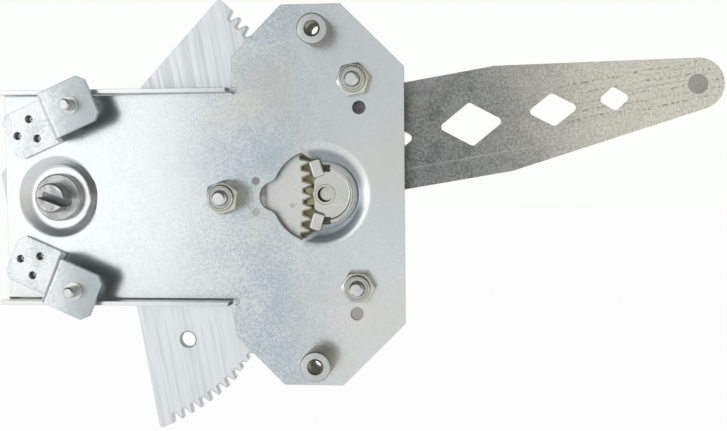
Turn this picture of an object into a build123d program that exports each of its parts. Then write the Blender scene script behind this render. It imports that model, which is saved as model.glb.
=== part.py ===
from build123d import *
import os
from math import acos, atan2, cos, degrees, pi, radians, sin, sqrt, tan

# Arm-and-sector window regulator for a car door, one STEP file per piece.
# Frame: millimetres, +Z up, +X towards the roller end of the lift arm, -Y towards the open
# side of the mechanism. The origin lies on the pivot axis, at the foot of the spring arbor.

# ---------------------------------------------------------------- driving sizes
# Base plate: an eight-cornered head and a tongue with two stiffening flanges
sheet = 1.8
head_left = 79.0
head_right = 154.2
head_half_height = 82.6
head_cut_right = 27.2
head_cut_left = 22.0
head_corner_radius = 1.5
tongue_left = -24.2
tongue_half_height = 47.0
flange_height = 9.3
flange_bend = 0.8
relief_radius = 1.5
clip_hole_radius = 2.9
upper_clip_hole = (134.7, 38.1)
lower_locating_stub = (133.2, -51.0)
stub_sink = 1.2
stub_stand = 1.0

# Pivot: pressed dish, bush, collar and slotted arbor
dish_depth = 2.0
dish_edge_radius = 3.0
dish_skirt = 3.0
pivot_dish_rim = 18.0
pivot_dish_floor = 13.8
arbor_radius = 6.5
shaft_radius = 7.0
bush_wall = 2.5
bush_flange_radius = 12.5
bush_flange = 0.8
bush_stand = 0.3
collar_radius = 10.5
collar_stand = 2.0
collar_round = 0.8
arbor_length = 8.5
arbor_slot_width = 3.8
arbor_slot_tilt = -20.0
arbor_chamfer = 0.6
shaft_head_radius = 11.0
shaft_head = 2.5
shaft_head_bevel = 1.0

# Gears: 140 teeth to the full circle of the sector, 9 on the pinion
module = 1.6
pressure_angle = 20.0
sector_full_teeth = 140
pinion_teeth = 9
pinion_shift = 0.5
sector_shift = -0.34
gear_centres = 119.35
gear_rise = 0.7
pinion_tip_radius = 9.25
tooth_thinning = 0.10
dedendum_factor = 1.25
flank_count = 4
tooth_root_overlap = 0.3
sector_phase = -0.1
first_gap = -24
last_gap = 18
sector_sheet = 3.2
sector_edge_offset = 6.2
sector_edge_angle = 46.8
sector_tail_offset = 24.2
sector_tail_angle = -80.0
sector_tail_start = 18.0
sector_hub_radius = 20.0
sector_corner_radius = 1.5
tooth_bevel = 0.55
sector_hole_radius = 3.4
sector_hole = (56.5, -63.9)

# Pinion window: half dish, opening, bearing cup and pinion
gear_dish_centre = (116.8, 0.5)
gear_dish_rim = 21.9
gear_dish_floor = 16.6
gear_dish_edge_radius = 8.0
ramp_start = 109.3
ramp_length = 8.0
window_centre = 116.5
window_radius = 20.3
window_right = 109.3
window_throat = (115.2, 15.0)
lobe_centre = 97.3
lobe_radius = 6.5
lobe_blend = 5.0
cup_radius = 13.0
cup_wall = 1.6
cup_groove = 0.9
cup_groove_depth = 1.9
cup_floor = 2.0
cup_sink = 0.3
cup_rim_stand = 0.9
cup_corner_radius = 1.0
cup_hub_ring = 5.2
cup_cut_right = 2.4
cup_wing_outer = (-1.0, 9.8)
cup_wing_inner = (-4.7, 6.0)
lip_wall = 1.3
lip_stand = 1.0
ear_length = 8.2
ear_width = 5.6
ear_offset = -0.9
ear_angle = 107.0
ear_height = 1.5
ear_corner_radius = 1.4
ear_edge_radius = 1.1
ear_gap = 0.5
hub_radius = 4.4
drive_bore_radius = 3.35
drive_bore_depth = 3.2

# Lift arm, in its own frame: along the arm from the pivot, and across it
arm_sheet = 3.0
arm_angle = 9.5
arm_half_width = 22.9
arm_tail = 28.0
arm_tail_half = 15.0
arm_tail_slope = 8.0
arm_flare = ((40.0, -22.9), (75.0, -38.0), (112.0, -38.0), (148.0, -22.9))
arm_knee = 199.2
roller_arm = 281.5
arm_end_radius = 10.9
knee_radius = 14.0
cutout_places = (141.6, 185.0, 220.5, 246.6)
cutout_half_lengths = (18.7, 14.4, 11.3, 7.1)
cutout_half_heights = (12.4, 9.6, 7.3, 5.4)
cutout_corner_radius = 1.8
cutout_turn = -4.0
arm_rivet_radius = 3.0
arm_rivet_head = 5.0
arm_rivet_dome = 1.6
arm_rivet_shoulder = 4.5
arm_rivet_crown = 2.5
arm_rivet_places = ((38.0, 14.0), (38.0, -14.0), (75.0, 14.0), (75.0, -14.0))

# Roller at the end of the arm
roller_rivet_radius = 4.1
roller_mark_radius = 1.15
roller_mark_depth = 0.3
roller_journal = 4.5
roller_flange_radius = 7.0
roller_flange = 1.2
roller_radius = 9.5
roller_width = 10.6
roller_crown = 1.2
roller_head = 1.5
roller_head_bevel = 0.6

# Bosses, brackets and studs
boss_x = 117.0
upper_boss_inset = 12.0
lower_boss_inset = 10.8
boss_height = 15.0
boss_radius = 6.6
boss_chamfer = 0.8
boss_thread_radius = 2.5
boss_countersink = 3.5
boss_spigot = 4.6
bracket_sheet = 2.0
bracket_fold_x = 1.4
bracket_fold_inset = 11.4
bracket_angle = 23.3
bracket_half_width = 10.5
bracket_top_length = 21.6
bracket_foot_start = -3.4
bracket_foot_end = -25.2
bracket_bend = 2.2
bracket_corner_cut = 3.0
clinch_places = ((-20.9, 0.0), (-13.0, 4.65), (-13.0, -4.65))
clinch_radius = 1.75
clinch_depth = 1.3
clinch_button = 2.3
clinch_button_stand = 0.7
door_pin_at = 11.3
door_pin_radius = 2.45
door_pin_length = 7.7
door_pin_chamfer = 0.6
door_pin_ring = 3.8
door_pin_ring_height = 0.6
door_pin_head = 4.2
door_pin_head_height = 1.2
stud_radius = 4.0
stud_chamfer = 0.9
stud_head_radius = 6.5
upper_stud = (132.8, 49.9)
lower_stud = (134.2, -39.2)
centre_stud = (77.0, 0.0)
outer_stud_head = 3.0
centre_stud_head = 1.8
stud_beyond_nut = 3.6
nut_across_flats = 13.0
nut_hex_height = 6.0
nut_height = 8.0
nut_collar_radius = 5.7
nut_chamfer = 0.7
insert_radius = 4.9
insert_height = 1.5
spacer_height = 7.5
spacer_turn = 30.0

# Guide pad between plate and sector
pad_at = 89.2
pad_half_height = 11.0
pad_width = 7.0
pad_corner_radius = 1.5
pad_stub_radius = 1.65
pad_stub_spread = 13.6

# How far a cutting shape runs past the metal that it cuts
overshoot = 1.0

# Clearances
running_clearance = 0.05
side_clearance = 0.1
pad_clearance = 0.2
thread_clearance = 0.05
arm_clearance = 0.3

# ---------------------------------------------------------------- levels along Y
plate_front = collar_stand
plate_back = plate_front + sheet
dish_floor = plate_front + dish_depth
dish_back = dish_floor + sheet
sector_front = dish_back + bush_flange + side_clearance
sector_back = sector_front + sector_sheet
arm_back = sector_back + arm_sheet
cup_front = dish_floor + cup_sink
cup_back = cup_front + cup_floor
raised_front = plate_front - boss_height
centre_nut_back = plate_front - spacer_height
roller_front = arm_back + roller_flange + side_clearance
roller_back = roller_front + roller_width

# ---------------------------------------------------------------- places that follow from the sizes
bracket_fold_z = tongue_half_height - bracket_fold_inset
boss_places = {
    "upper": (boss_x, head_half_height - upper_boss_inset),
    "lower": (boss_x, -head_half_height + lower_boss_inset),
}
sector_pitch_radius = module * sector_full_teeth / 2
pinion_pitch_radius = module * pinion_teeth / 2
sector_tip_radius = sector_pitch_radius + (1 + sector_shift) * module
sector_root_radius = sector_pitch_radius - (dedendum_factor - sector_shift) * module
gear_axis = (gear_centres, gear_rise)


# ---------------------------------------------------------------- helpers
def facing(y):
    """Plane parallel to the plate at depth y: sketch x is X, sketch y is Z."""
    return Plane((0, y, 0), x_dir=(1, 0, 0), z_dir=(0, -1, 0))


def slab(sketch, y_front, y_back):
    """Sketch drawn in X and Z, thickened from y_back forward to y_front."""
    return extrude(facing(y_back) * sketch, y_back - y_front)


def disc(radius, place, y_front, y_back):
    """Round bar along Y."""
    return slab(Pos(*place) * Circle(radius), y_front, y_back)


def turned(profile, place=(0, 0)):
    """Solid of revolution about an axis along Y; profile points are (radius, y)."""
    face = Plane.XY * make_face(Polyline(*profile, close=True))
    return Pos(place[0], 0, place[1]) * revolve(face, Axis.Y)


def hexagon(across_flats, place, y_front, y_back, turn=0.0):
    """Hexagonal bar along Y."""
    outline = RegularPolygon(across_flats / 2, 6, major_radius=False)
    return slab(Pos(*place) * Rot(0, 0, turn) * outline, y_front, y_back)


def in_arm_frame(along, across):
    """Point given along and across the lift arm, in X and Z."""
    turn = radians(arm_angle)
    return (along * cos(turn) - across * sin(turn), along * sin(turn) + across * cos(turn))


def save(shape, node):
    export_step(shape, f"parts/{node}.step")


# ---------------------------------------------------------------- base plate
def head_outline():
    points = [
        (head_left, -head_half_height + head_cut_left),
        (head_left + head_cut_left, -head_half_height),
        (head_right - head_cut_right, -head_half_height),
        (head_right, -head_half_height + head_cut_right),
        (head_right, head_half_height - head_cut_right),
        (head_right - head_cut_right, head_half_height),
        (head_left + head_cut_left, head_half_height),
        (head_left, head_half_height - head_cut_left),
    ]
    outline = make_face(Polyline(*points, close=True))
    return fillet(outline.vertices(), head_corner_radius)


def bowl(rim, floor, top, bottom, edge_radius):
    """Solid that fills a pressed dish with rounded bends, from top to bottom along Y."""
    reach = rim + dish_skirt
    above = top - dish_skirt
    line = FilletPolyline((reach, top), (rim, top), (floor, bottom), (0, bottom), radius=edge_radius)
    closing = Polyline((0, bottom), (0, above), (reach, above), (reach, top))
    return revolve(make_face([line, closing]), Axis.Y)


def dish(rim, floor, place, edge_radius):
    """Pressed dish: the metal added behind the plate, and the hollow cut into its front."""
    centre = Pos(place[0], 0, place[1])
    lean = sheet * (rim - floor) / sqrt((rim - floor) ** 2 + dish_depth ** 2) / 2
    added = centre * bowl(rim + lean, floor + lean, plate_back, dish_back, edge_radius)
    behind = slab(Pos(*place) * Circle(rim + 2 * dish_skirt), plate_back - sheet / 2, dish_back)
    return behind & added, centre * bowl(rim, floor, plate_front, dish_floor, edge_radius)


def beyond_ramp(level):
    """Space to the right of the flat ramp that leads from a level down into the half dish."""
    low, high = level - dish_skirt, level + 2 * dish_skirt
    lean = ramp_length / dish_depth
    right = gear_dish_centre[0] + 2 * gear_dish_rim
    side = Polyline(
        (ramp_start + (low - level) * lean, low),
        (ramp_start + (high - level) * lean, high),
        (right, high),
        (right, low),
        close=True,
    )
    return extrude(make_face(side), 2 * gear_dish_rim, both=True)


def window_outline():
    """Opening that shows the gear mesh, with the lobe on its left side."""
    right_side = Pos(window_right + window_radius, 0) * Rectangle(2 * window_radius, 4 * window_radius)
    opening = Pos(window_centre, 0) * Circle(window_radius) - right_side
    opening += Pos(lobe_centre, 0) * Circle(lobe_radius)
    inner = [v for v in opening.vertices() if v.X < lobe_centre + lobe_radius]
    corner = sqrt(window_radius ** 2 - (window_right - window_centre) ** 2)
    throat = Polyline(
        (lobe_centre + lobe_radius, corner / 2),
        (window_right, corner),
        window_throat,
        (window_throat[0], -window_throat[1]),
        (window_right, -corner),
        (lobe_centre + lobe_radius, -corner / 2),
        close=True,
    )
    return fillet(inner, lobe_blend) + make_face(throat)


def edge_along_x(shape, y, z):
    """The shape's straight edges parallel to X at a depth and a height."""
    lines = shape.edges().filter_by(Axis.X)
    return lines.filter_by(lambda e: abs(e.center().Y - y) + abs(e.center().Z - z) < 0.01)


def base_plate():
    tongue_length = head_left + head_cut_left - tongue_left
    tongue = Pos(tongue_left + tongue_length / 2, 0) * Rectangle(tongue_length, 2 * tongue_half_height)
    plate = slab(head_outline() + tongue, plate_front, plate_back)
    flange_length = head_left - tongue_left
    for side in (1, -1):
        inner = side * (tongue_half_height - sheet)
        outer = side * tongue_half_height
        web = Plane.YZ.offset(tongue_left) * make_face(
            Polyline(
                (plate_back, inner - side * 2 * flange_bend),
                (plate_back, outer),
                (plate_front - flange_height, outer),
                (plate_front - flange_height, inner),
                (plate_front, inner),
                (plate_front, inner - side * 2 * flange_bend),
                close=True,
            )
        )
        angle_bar = extrude(web, flange_length)
        angle_bar = fillet(edge_along_x(angle_bar, plate_front, inner), flange_bend)
        angle_bar = fillet(edge_along_x(angle_bar, plate_back, outer), flange_bend + sheet)
        corner = Box(flange_length, 2 * (flange_bend + sheet), 2 * (flange_bend + sheet))
        plate -= Pos(tongue_left + flange_length / 2, plate_back, outer) * corner
        plate += angle_bar
        relief = (head_left + relief_radius / 2, side * (tongue_half_height - sheet / 2))
        plate -= disc(relief_radius, relief, plate_front - flange_height, dish_back)
    added, hollow = dish(pivot_dish_rim, pivot_dish_floor, (0, 0), dish_edge_radius)
    plate = plate + added - hollow
    added, hollow = dish(gear_dish_rim, gear_dish_floor, gear_dish_centre, gear_dish_edge_radius)
    plate = plate + (added & beyond_ramp(plate_back)) - (hollow & beyond_ramp(plate_front))
    lip_radius = cup_radius + lip_wall
    lip_front = dish_floor - lip_stand
    plate += disc(lip_radius, gear_axis, lip_front, dish_back)
    plate -= slab(window_outline(), plate_front - overshoot, dish_back + overshoot)
    plate -= disc(cup_radius, gear_axis, lip_front - overshoot, dish_back + overshoot)
    for side in (1, -1):
        notch = Pos(*gear_axis) * ear_outline(side, ear_gap)
        plate -= slab(notch, plate_front - overshoot, dish_floor)
    plate -= disc(shaft_radius + running_clearance + bush_wall, (0, 0), plate_front, dish_back)
    for place in boss_places.values():
        plate -= disc(boss_spigot, place, plate_front, plate_back)
    for side in (1, -1):
        for place in clinch_places:
            plate -= disc(clinch_button, bracket_point(place, side), plate_front, plate_back)
        plate -= disc(pad_stub_radius, (pad_at, side * pad_stub_spread / 2), plate_front, plate_back)
    for place in (upper_stud, lower_stud, centre_stud):
        plate -= disc(stud_radius, place, plate_front, plate_back)
    plate -= disc(clip_hole_radius, upper_clip_hole, plate_front, plate_back)
    plate += disc(clip_hole_radius, lower_locating_stub, plate_back, plate_back + stub_stand)
    return plate - disc(clip_hole_radius, lower_locating_stub, plate_front, plate_front + stub_sink)


# ---------------------------------------------------------------- mounting to the door
def bracket_point(place, side):
    """Point of a bracket, given along and across it from its fold, in X and Z."""
    turn = radians(bracket_angle)
    x = bracket_fold_x + place[0] * cos(turn) - place[1] * sin(turn)
    z = bracket_fold_z + place[0] * sin(turn) + place[1] * cos(turn)
    return (x, side * z)


def upper_bracket():
    """Z-shaped bracket, drawn in its own frame and turned into place."""
    low = plate_front - bracket_sheet / 2
    high = raised_front + bracket_sheet / 2
    step = FilletPolyline(
        (bracket_foot_end, low),
        (bracket_foot_start, low),
        (0, high),
        (bracket_top_length, high),
        radius=bracket_bend,
    )
    strip = extrude(trace(step, line_width=bracket_sheet), bracket_half_width, both=True)
    length = bracket_top_length - bracket_foot_end
    middle = (bracket_top_length + bracket_foot_end) / 2
    blank = Pos(middle, 0) * Rectangle(length, 2 * bracket_half_width)
    outline = chamfer(blank.vertices(), bracket_corner_cut)
    bracket = strip & slab(outline, raised_front - overshoot, plate_front + overshoot)
    for place in clinch_places:
        button_back = plate_back + clinch_button_stand
        bracket += disc(clinch_button, place, plate_front - bracket_sheet / 2, button_back)
        dimple = disc(clinch_radius, place, plate_front - bracket_sheet, button_back - clinch_depth)
        bracket -= dimple
    bracket -= disc(door_pin_radius, (door_pin_at, 0), raised_front, raised_front + bracket_sheet)
    bracket = Rot(0, -bracket_angle, 0) * bracket
    return Pos(bracket_fold_x, 0, bracket_fold_z) * bracket


def door_pin(side):
    """Pin that locates a bracket in the door, riveted through the raised pad."""
    pad_back = raised_front + bracket_sheet
    profile = [
        (0, raised_front - door_pin_length),
        (door_pin_radius - door_pin_chamfer, raised_front - door_pin_length),
        (door_pin_radius, raised_front - door_pin_length + door_pin_chamfer),
        (door_pin_radius, raised_front - door_pin_ring_height),
        (door_pin_ring, raised_front - door_pin_ring_height),
        (door_pin_ring, raised_front),
        (door_pin_radius, raised_front),
        (door_pin_radius, pad_back),
        (door_pin_head, pad_back),
        (door_pin_radius, pad_back + door_pin_head_height),
        (0, pad_back + door_pin_head_height),
    ]
    return turned(profile, bracket_point((door_pin_at, 0), side))


def mount_boss(place):
    """Threaded boss, its spigot swaged into the plate."""
    depth = boss_countersink - boss_thread_radius
    profile = [
        (boss_thread_radius, raised_front + depth),
        (boss_countersink, raised_front),
        (boss_radius - boss_chamfer, raised_front),
        (boss_radius, raised_front + boss_chamfer),
        (boss_radius, plate_front),
        (boss_spigot, plate_front),
        (boss_spigot, plate_back),
        (boss_thread_radius, plate_back),
    ]
    return turned(profile, place)


# ---------------------------------------------------------------- studs and nuts
def drive_stud(place, nut_top, head):
    """Stud pressed in from behind; its thread stands beyond the nut."""
    tip = nut_top - stud_beyond_nut
    profile = [
        (0, tip),
        (stud_radius - stud_chamfer, tip),
        (stud_radius, tip + stud_chamfer),
        (stud_radius, plate_back),
        (stud_head_radius, plate_back),
        (stud_head_radius, plate_back + head),
        (0, plate_back + head),
    ]
    return turned(profile, place)


def lock_nut(place, seat):
    """Hexagon nut with a collar that holds its nylon insert."""
    hex_front = seat - nut_hex_height
    front = seat - nut_height
    corner = nut_across_flats / 2 / cos(pi / 6)
    body = hexagon(nut_across_flats, place, hex_front, seat)
    rounding = turned(
        [
            (0, hex_front),
            (corner - nut_chamfer * 2, hex_front),
            (corner, hex_front + nut_chamfer),
            (corner, seat),
            (0, seat),
        ],
        place,
    )
    collar = turned(
        [
            (0, hex_front),
            (nut_collar_radius, hex_front),
            (nut_collar_radius, front + nut_chamfer),
            (nut_collar_radius - nut_chamfer, front),
            (0, front),
        ],
        place,
    )
    nut = (body & rounding) + collar
    nut -= disc(insert_radius, place, front - overshoot, front + insert_height)
    return nut - disc(stud_radius + thread_clearance, place, front - overshoot, seat + overshoot)


def nut_insert(place, seat):
    front = seat - nut_height
    ring = disc(insert_radius, place, front, front + insert_height)
    return ring - disc(stud_radius + thread_clearance, place, front - overshoot, seat)


def centre_spacer():
    """Hexagonal spacer that lifts the centre nut to the height of the drive unit's foot."""
    bar = hexagon(nut_across_flats, centre_stud, centre_nut_back, plate_front, spacer_turn)
    bore = stud_radius + thread_clearance
    return bar - disc(bore, centre_stud, centre_nut_back - overshoot, plate_front + overshoot)


# ---------------------------------------------------------------- pivot
def pivot_bush():
    """Bush pressed into the plate; its flange keeps the sector off the dish."""
    bore = shaft_radius + running_clearance
    barrel = bore + bush_wall
    profile = [
        (bore, dish_floor - bush_stand),
        (barrel, dish_floor - bush_stand),
        (barrel, dish_back),
        (bush_flange_radius, dish_back),
        (bush_flange_radius, dish_back + bush_flange),
        (bore, dish_back + bush_flange),
    ]
    return turned(profile)


def retaining_collar():
    """Collar pressed on the shaft, in front of the bush."""
    back = dish_floor - bush_stand - running_clearance
    ring = disc(collar_radius, (0, 0), 0, back)
    ring = fillet(ring.edges().filter_by(GeomType.CIRCLE).sort_by(Axis.Y)[0], collar_round)
    return ring - disc(shaft_radius, (0, 0), -overshoot, back + overshoot)


def pivot_shaft():
    """Shaft fixed in the arm and sector; its slotted end takes a spring's inner end."""
    profile = [
        (0, -arbor_length),
        (arbor_radius - arbor_chamfer, -arbor_length),
        (arbor_radius, -arbor_length + arbor_chamfer),
        (arbor_radius, 0),
        (shaft_radius, 0),
        (shaft_radius, arm_back),
        (shaft_head_radius, arm_back),
        (shaft_head_radius - shaft_head_bevel, arm_back + shaft_head),
        (0, arm_back + shaft_head),
    ]
    slot = Box(4 * arbor_radius, 2 * arbor_length, arbor_slot_width)
    slot = Rot(0, -arbor_slot_tilt, 0) * Pos(0, -arbor_length, 0) * slot
    return turned(profile) - slot


# ---------------------------------------------------------------- gears
def involute(angle):
    return tan(angle) - angle


def half_angle(pitch_radius, shift, radius):
    """Half of a tooth's angular thickness at a radius, in radians, thinned for backlash."""
    pressure = radians(pressure_angle)
    thickness = module * (pi / 2 + 2 * shift * tan(pressure)) - tooth_thinning
    base = pitch_radius * cos(pressure)
    local = acos(min(1, base / radius))
    return thickness / 2 / pitch_radius + involute(pressure) - involute(local)


def polar(radius, angle):
    return (radius * cos(angle), radius * sin(angle))


def sector_gap(number, growth=0.0):
    """One tooth space of the sector, open beyond the tips, grown for the bevel of its edges."""
    half_pitch = pi / sector_full_teeth
    middle = radians(sector_phase) + (2 * number - 1) * half_pitch
    half_widths = [
        (
            radius - growth,
            half_pitch - half_angle(sector_pitch_radius, sector_shift, radius) + growth / radius,
        )
        for radius in (sector_root_radius, sector_pitch_radius, sector_tip_radius)
    ]
    half_widths.append((sector_tip_radius + module, half_widths[-1][1]))
    low = [polar(radius, middle - half) for radius, half in half_widths]
    high = [polar(radius, middle + half) for radius, half in reversed(half_widths)]
    return make_face(Polyline(*(low + high), close=True))


def sector_blank():
    """Sector outline without teeth: a hub, two straight edges and the rim."""
    top = radians(sector_edge_angle)
    tail = radians(sector_tail_angle)
    top_foot = (-sector_edge_offset * sin(top), sector_edge_offset * cos(top))
    tail_foot = (-sector_tail_offset * sin(tail), sector_tail_offset * cos(tail))
    reach = sector_tip_radius + sector_hub_radius
    points = [
        top_foot,
        (top_foot[0] + reach * cos(top), top_foot[1] + reach * sin(top)),
        (reach, 0),
        (tail_foot[0] + reach * cos(tail), tail_foot[1] + reach * sin(tail)),
        (
            tail_foot[0] + sector_tail_start * cos(tail),
            tail_foot[1] + sector_tail_start * sin(tail),
        ),
        (0, -sector_hub_radius),
    ]
    wedge = make_face(Polyline(*points, close=True)) & Circle(sector_tip_radius)
    rim_corners = wedge.vertices().filter_by(lambda v: v.center().length > sector_pitch_radius)
    return fillet(rim_corners, sector_corner_radius) + Circle(sector_hub_radius)


def sector_gear():
    outline = sector_blank()
    outline -= Circle(shaft_radius)
    outline -= Pos(*sector_hole) * Circle(sector_hole_radius)
    for place in arm_rivet_places:
        outline -= Pos(*in_arm_frame(*place)) * Circle(arm_rivet_radius)
    numbers = range(first_gap, last_gap + 1)
    outline -= [sector_gap(number) for number in numbers]
    blank = slab(outline, sector_front, sector_back)
    front, inside = facing(sector_front), facing(sector_front + tooth_bevel)
    return blank - [
        loft([front * sector_gap(number, tooth_bevel), inside * sector_gap(number)])
        for number in numbers
    ]


def pinion():
    """Pinion with nine teeth, a hub that turns in the cup, and a blind driving bore."""
    base = pinion_pitch_radius * cos(radians(pressure_angle))
    root = pinion_pitch_radius - (dedendum_factor - pinion_shift) * module
    front = cup_back + side_clearance
    back = sector_back - arm_clearance
    rise = (pinion_tip_radius - base) / flank_count
    radii = [base + rise * step for step in range(flank_count + 1)]
    flank = [(radius, half_angle(pinion_pitch_radius, pinion_shift, radius)) for radius in radii]
    tooth = [(root - tooth_root_overlap, flank[0][1])] + flank
    upper = [polar(radius, angle) for radius, angle in tooth]
    lower = [polar(radius, -angle) for radius, angle in reversed(tooth)]
    profile = make_face(Polyline(*(upper + lower), close=True))
    gear = Circle(root)
    bearing = atan2(gear_rise, gear_centres)
    lead = (radians(sector_phase) - bearing) * sector_full_teeth / pinion_teeth
    first = pi + bearing - lead - pi / pinion_teeth
    for number in range(pinion_teeth):
        gear += Rot(0, 0, degrees(first + 2 * pi * number / pinion_teeth)) * profile
    body = slab(Pos(*gear_axis) * gear, front, back)
    body += disc(hub_radius, gear_axis, cup_front, front)
    bore_end = cup_front + drive_bore_depth
    return body - disc(drive_bore_radius, gear_axis, cup_front - overshoot, bore_end)


def ear_outline(side, growth=0.0):
    """Outline of one ear of the cup, about the pinion's axis, grown by a clearance."""
    turn = side * ear_angle
    ear = RectangleRounded(ear_width + 2 * growth, ear_length + 2 * growth, ear_corner_radius)
    return Pos(*polar(cup_radius + ear_offset, radians(turn))) * Rot(0, 0, turn - 90) * ear


def pinion_cup():
    """Pressed bearing cup, cut open beside the sector so that the teeth can mesh."""
    rim = dish_floor - cup_rim_stand
    inner = cup_radius - cup_wall
    shell = turned(
        [
            (0, cup_front),
            (inner, cup_front),
            (inner, rim),
            (cup_radius - cup_groove, rim),
            (cup_radius - cup_groove, rim + cup_groove_depth),
            (cup_radius, rim + cup_groove_depth),
            (cup_radius, cup_back),
            (0, cup_back),
        ]
    )
    circles = shell.edges().filter_by(GeomType.CIRCLE).filter_by(lambda e: abs(e.radius - inner) < 0.01)
    shell = fillet(circles.sort_by(Axis.Y)[-1], cup_corner_radius)
    wing = make_face(
        Polyline(
            (cup_cut_right, cup_wing_outer[1]),
            cup_wing_outer,
            cup_wing_inner,
            (cup_wing_inner[0], -cup_wing_inner[1]),
            (cup_wing_outer[0], -cup_wing_outer[1]),
            (cup_cut_right, -cup_wing_outer[1]),
            close=True,
        )
    )
    opening = Pos(cup_cut_right - 2 * cup_radius, 0) * Rectangle(4 * cup_radius, 4 * cup_radius)
    opening = opening - Circle(cup_hub_ring) - wing
    cup = shell - slab(opening, rim - overshoot, cup_back + overshoot)
    for side in (1, -1):
        ear = ear_outline(side)
        cup += slab(ear & Circle(cup_radius), dish_floor - ear_height, cup_back)
        cup += slab(ear, dish_floor - ear_height, dish_floor)
    ear_rims = cup.edges().filter_by_position(Axis.Y, dish_floor - ear_height, dish_floor - ear_height)
    cup = fillet(ear_rims, ear_edge_radius)
    cup -= disc(hub_radius + running_clearance, (0, 0), rim - ear_height, cup_back + overshoot)
    return Pos(gear_centres, 0, gear_rise) * cup


def guide_pad():
    """Nylon pad that keeps the sector off the plate; its stubs show in front."""
    height = 2 * pad_half_height
    block = Pos(pad_at, 0) * RectangleRounded(pad_width, height, pad_corner_radius)
    pad = slab(block, plate_back, sector_front - pad_clearance)
    for side in (1, -1):
        pad += disc(pad_stub_radius, (pad_at, side * pad_stub_spread / 2), plate_front, plate_back)
    return pad


# ---------------------------------------------------------------- lift arm
def cutout(along, half_length, half_height):
    """Diamond-shaped lightening hole with rounded corners."""
    points = [(-half_length, 0), (0, -half_height), (half_length, 0), (0, half_height)]
    diamond = make_face(Polyline(*points, close=True))
    diamond = fillet(diamond.vertices(), cutout_corner_radius)
    return Pos(along, 0) * Rot(0, 0, cutout_turn) * diamond


def lift_arm():
    run = roller_arm - arm_knee
    drop = arm_half_width - arm_end_radius
    lean = atan2(drop, run)
    touch = (roller_arm + arm_end_radius * sin(lean), arm_end_radius * cos(lean))
    half = [
        (-arm_tail, arm_tail_half),
        (-arm_tail + arm_tail_slope, arm_half_width),
        (arm_knee, arm_half_width),
        touch,
    ]
    points = half + [(x, -z) for x, z in reversed(half)]
    outline = make_face(Polyline(*points, close=True))
    knees = outline.vertices().filter_by(lambda v: abs(v.X - arm_knee) < 0.1)
    outline = fillet(knees, knee_radius)
    outline += Pos(roller_arm, 0) * Circle(arm_end_radius)
    outline += make_face(Polyline(*arm_flare, close=True))
    outline -= Circle(shaft_radius)
    outline -= Pos(roller_arm, 0) * Circle(roller_rivet_radius)
    for place in arm_rivet_places:
        outline -= Pos(*place) * Circle(arm_rivet_radius)
    for along, length, height in zip(cutout_places, cutout_half_lengths, cutout_half_heights):
        outline -= cutout(along, length, height)
    return slab(Rot(0, 0, arm_angle) * outline, sector_back, arm_back)


def arm_rivets():
    """Rivets that join the arm to the sector, flush in front and domed behind."""
    profile = [
        (0, sector_front),
        (arm_rivet_radius, sector_front),
        (arm_rivet_radius, arm_back),
        (arm_rivet_head, arm_back),
        (arm_rivet_shoulder, arm_back + arm_rivet_dome / 2),
        (arm_rivet_crown, arm_back + arm_rivet_dome),
        (0, arm_back + arm_rivet_dome),
    ]
    return Compound([turned(profile, in_arm_frame(*place)) for place in arm_rivet_places])


# ---------------------------------------------------------------- roller
def roller_stud():
    """Shouldered rivet that carries the roller."""
    end = roller_back + side_clearance
    profile = [
        (roller_mark_radius, sector_back),
        (roller_rivet_radius, sector_back),
        (roller_rivet_radius, arm_back),
        (roller_flange_radius, arm_back),
        (roller_flange_radius, arm_back + roller_flange),
        (roller_journal, arm_back + roller_flange),
        (roller_journal, end),
        (roller_flange_radius, end),
        (roller_flange_radius - roller_head_bevel, end + roller_head),
        (0, end + roller_head),
        (0, sector_back + roller_mark_depth),
        (roller_mark_radius, sector_back + roller_mark_depth),
    ]
    return turned(profile, in_arm_frame(roller_arm, 0))


def roller():
    """Plastic roller that runs in the channel under the glass."""
    bore = roller_journal + running_clearance
    profile = [
        (bore, roller_front),
        (roller_radius - roller_crown, roller_front),
        (roller_radius, roller_front + roller_crown),
        (roller_radius, roller_back - roller_crown),
        (roller_radius - roller_crown, roller_back),
        (bore, roller_back),
    ]
    return turned(profile, in_arm_frame(roller_arm, 0))


# ---------------------------------------------------------------- the pieces
def main():
    os.makedirs("parts", exist_ok=True)
    save(base_plate(), "base_plate")
    bracket = upper_bracket()
    save(bracket, "upper_bracket")
    save(mirror(bracket, about=Plane.XY), "lower_bracket")
    for side, name in ((1, "upper"), (-1, "lower")):
        save(door_pin(side), f"{name}_bracket_pin")
        save(mount_boss(boss_places[name]), f"{name}_mount_boss")
    studs = (
        ("upper", upper_stud, plate_front, outer_stud_head),
        ("lower", lower_stud, plate_front, outer_stud_head),
        ("centre", centre_stud, centre_nut_back, centre_stud_head),
    )
    for name, place, seat, head in studs:
        save(drive_stud(place, seat - nut_height, head), f"{name}_drive_stud")
        save(lock_nut(place, seat), f"{name}_lock_nut")
    save(Compound([nut_insert(place, seat) for name, place, seat, head in studs]), "lock_nut_inserts")
    save(centre_spacer(), "centre_spacer")
    save(pivot_bush(), "pivot_bush")
    save(retaining_collar(), "retaining_collar")
    save(pivot_shaft(), "pivot_shaft")
    save(pinion_cup(), "pinion_cup")
    save(pinion(), "pinion")
    save(guide_pad(), "sector_guide_pad")
    save(sector_gear(), "sector_gear")
    save(lift_arm(), "lift_arm")
    save(arm_rivets(), "arm_rivets")
    save(roller_stud(), "roller_stud")
    save(roller(), "roller")


main()
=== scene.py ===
import math

import bpy
from mathutils import Matrix, Vector


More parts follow.
